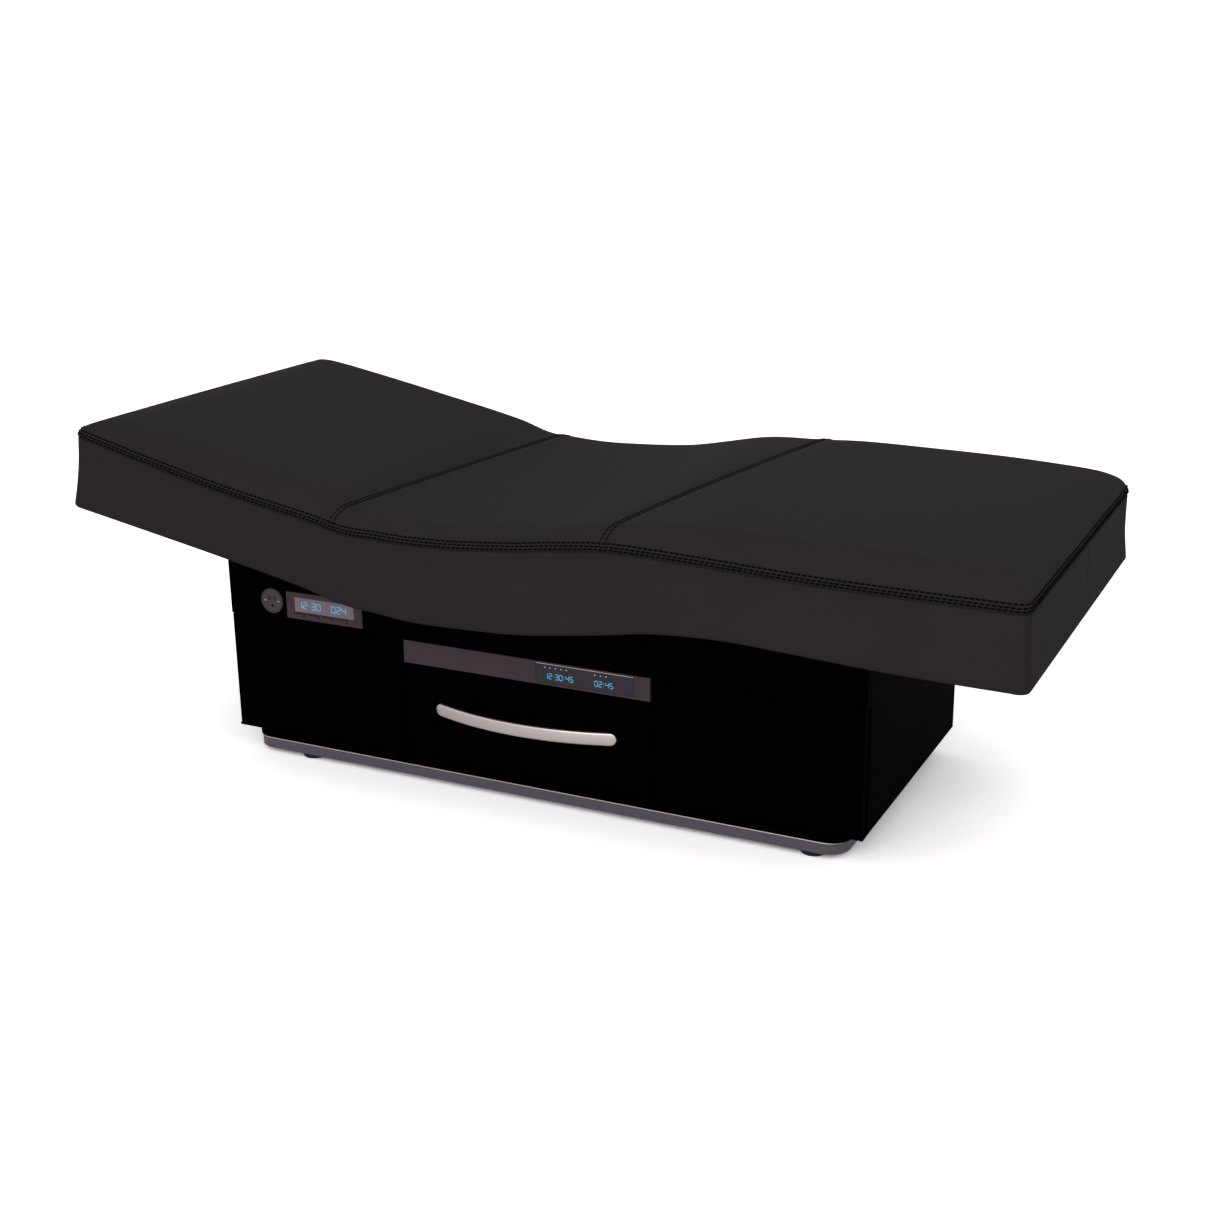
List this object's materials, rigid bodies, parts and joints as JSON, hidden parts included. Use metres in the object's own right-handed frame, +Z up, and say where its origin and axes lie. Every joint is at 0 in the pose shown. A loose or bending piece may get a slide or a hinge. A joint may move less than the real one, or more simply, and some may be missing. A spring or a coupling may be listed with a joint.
{
  "type": "treatment table",
  "caption": "Spa treatment table: padded top with tilting back and leg sections on a lifting cabinet with doors, a drawer and push-button controls.",
  "frame": {"origin": "on the floor, in the middle of the table's outline", "axes": "+Z up, +X towards the foot end, the drawer and doors face -Y"},
  "size_m": [1.8544, 0.813, 0.6619],
  "materials": {
    "black_vinyl": "satin",
    "black_lacquer": "satin",
    "black_board": "matte",
    "birch_ply": "matte",
    "plinth_paint": "satin",
    "foot_rubber": "matte",
    "frame_paint": "satin",
    "column_steel": "satin",
    "taupe_plastic": "satin",
    "display_plastic": "gloss",
    "grey_plastic": "satin",
    "dark_plastic": "matte",
    "satin_nickel": "satin",
    "zinc_steel": "satin"
  },
  "bodies": {
    "base": {"plinth_tray": "plinth_paint", "plinth_deck": "black_board", "column_base_left": "frame_paint", "column_base_right": "frame_paint"},
    "foot_front_left": {"levelling_foot_front_left": "foot_rubber"},
    "foot_front_right": {"levelling_foot_front_right": "foot_rubber"},
    "foot_rear_left": {"levelling_foot_rear_left": "foot_rubber"},
    "foot_rear_right": {"levelling_foot_rear_right": "foot_rubber"},
    "column_middle": {"column_middle_left": "column_steel", "column_middle_right": "column_steel"},
    "cabinet": {"column_top_left": "column_steel", "column_top_right": "column_steel", "lift_frame": "frame_paint", "side_panel_left": "black_lacquer", "side_panel_right": "black_lacquer", "back_panel": "black_lacquer", "floor_panel": "black_board", "top_panel": "black_lacquer", "upper_fascia": "black_lacquer", "bay_wall_left": "birch_ply", "bay_wall_right": "birch_ply", "bay_top": "birch_ply", "compartment_back_left": "birch_ply", "compartment_back_right": "birch_ply", "door_pivot_rod_left": "zinc_steel", "door_pivot_rod_right": "zinc_steel", "control_strip": "taupe_plastic", "strip_display": "display_plastic", "control_panel": "taupe_plastic", "panel_display": "display_plastic", "power_outlet": "grey_plastic", "mains_inlet": "dark_plastic", "control_box": "dark_plastic", "drive_housing": "dark_plastic", "drawer_rail_left": "zinc_steel", "drawer_rail_right": "zinc_steel", "seat_frame": "frame_paint", "seat_deck": "birch_ply", "seat_cushion": "black_vinyl", "back_flex_foam": "black_vinyl", "leg_flex_foam": "black_vinyl"},
    "left_door": {"door_left": "black_lacquer"},
    "right_door": {"door_right": "black_lacquer"},
    "drawer": {"drawer_front": "black_lacquer", "drawer_tray": "birch_ply", "drawer_handle": "satin_nickel", "drawer_slide_left": "zinc_steel", "drawer_slide_right": "zinc_steel"},
    "back_section": {"back_frame": "frame_paint", "back_deck": "birch_ply", "back_cushion": "black_vinyl"},
    "leg_section": {"leg_frame": "frame_paint", "leg_deck": "birch_ply", "leg_cushion": "black_vinyl"},
    "back_push_rod": {"back_pusher": "zinc_steel"},
    "leg_push_rod": {"leg_pusher": "zinc_steel"},
    "button_1": {"panel_button_1": "taupe_plastic"},
    "button_2": {"panel_button_2": "taupe_plastic"},
    "button_3": {"panel_button_3": "taupe_plastic"},
    "button_4": {"panel_button_4": "taupe_plastic"}
  },
  "joints": [
    {"name": "lift", "type": "slide", "parent": "base", "child": "cabinet", "axis": [0, 0, 1], "range_m": [0, 0.3]},
    {"name": "column_extend", "type": "slide", "parent": "base", "child": "column_middle", "axis": [0, 0, 1], "range_m": [0, 0.15]},
    {"name": "foot_front_left_level", "type": "slide", "parent": "base", "child": "foot_front_left", "axis": [0, 0, -1], "range_m": [0, 0.008]},
    {"name": "foot_front_right_level", "type": "slide", "parent": "base", "child": "foot_front_right", "axis": [0, 0, -1], "range_m": [0, 0.008]},
    {"name": "foot_rear_left_level", "type": "slide", "parent": "base", "child": "foot_rear_left", "axis": [0, 0, -1], "range_m": [0, 0.008]},
    {"name": "foot_rear_right_level", "type": "slide", "parent": "base", "child": "foot_rear_right", "axis": [0, 0, -1], "range_m": [0, 0.008]},
    {"name": "left_door_swing", "type": "hinge", "parent": "cabinet", "child": "left_door", "pos_m": [-0.65235, -0.2765, 0.16575], "axis": [0, 0, -1], "range_deg": [0, 105]},
    {"name": "right_door_swing", "type": "hinge", "parent": "cabinet", "child": "right_door", "pos_m": [0.62565, -0.2765, 0.16575], "axis": [0, 0, 1], "range_deg": [0, 105]},
    {"name": "drawer_pull", "type": "slide", "parent": "cabinet", "child": "drawer", "axis": [0, -1, 0], "range_m": [0, 0.33]},
    {"name": "back_tilt", "type": "hinge", "parent": "cabinet", "child": "back_section", "pos_m": [-0.31835, 0, 0.4185], "axis": [0, 1, 0], "range_deg": [-11, 50], "deforming": ["back_flex_foam"]},
    {"name": "leg_tilt", "type": "hinge", "parent": "cabinet", "child": "leg_section", "pos_m": [0.24165, 0, 0.4185], "axis": [0, -1, 0], "range_deg": [0, 25], "deforming": ["leg_flex_foam"]},
    {"name": "back_push", "type": "slide", "parent": "cabinet", "child": "back_push_rod", "axis": [1, 0, 0], "range_m": [-0.076, 0.017]},
    {"name": "leg_push", "type": "slide", "parent": "cabinet", "child": "leg_push_rod", "axis": [1, 0, 0], "range_m": [0, 0.0395]},
    {"name": "button_1_press", "type": "slide", "parent": "cabinet", "child": "button_1", "axis": [0, 1, 0], "range_m": [0, 0.0015], "stiffness_N_per_m": 400},
    {"name": "button_2_press", "type": "slide", "parent": "cabinet", "child": "button_2", "axis": [0, 1, 0], "range_m": [0, 0.0015], "stiffness_N_per_m": 400},
    {"name": "button_3_press", "type": "slide", "parent": "cabinet", "child": "button_3", "axis": [0, 1, 0], "range_m": [0, 0.0015], "stiffness_N_per_m": 400},
    {"name": "button_4_press", "type": "slide", "parent": "cabinet", "child": "button_4", "axis": [0, 1, 0], "range_m": [0, 0.0015], "stiffness_N_per_m": 400}
  ],
  "couplings": [
    {"joint": "column_extend", "follows": "lift", "ratio": 0.5},
    {"joint": "back_push", "follows": "back_tilt", "m_per_rad": -0.0868},
    {"joint": "leg_push", "follows": "leg_tilt", "m_per_rad": 0.0893}
  ]
}
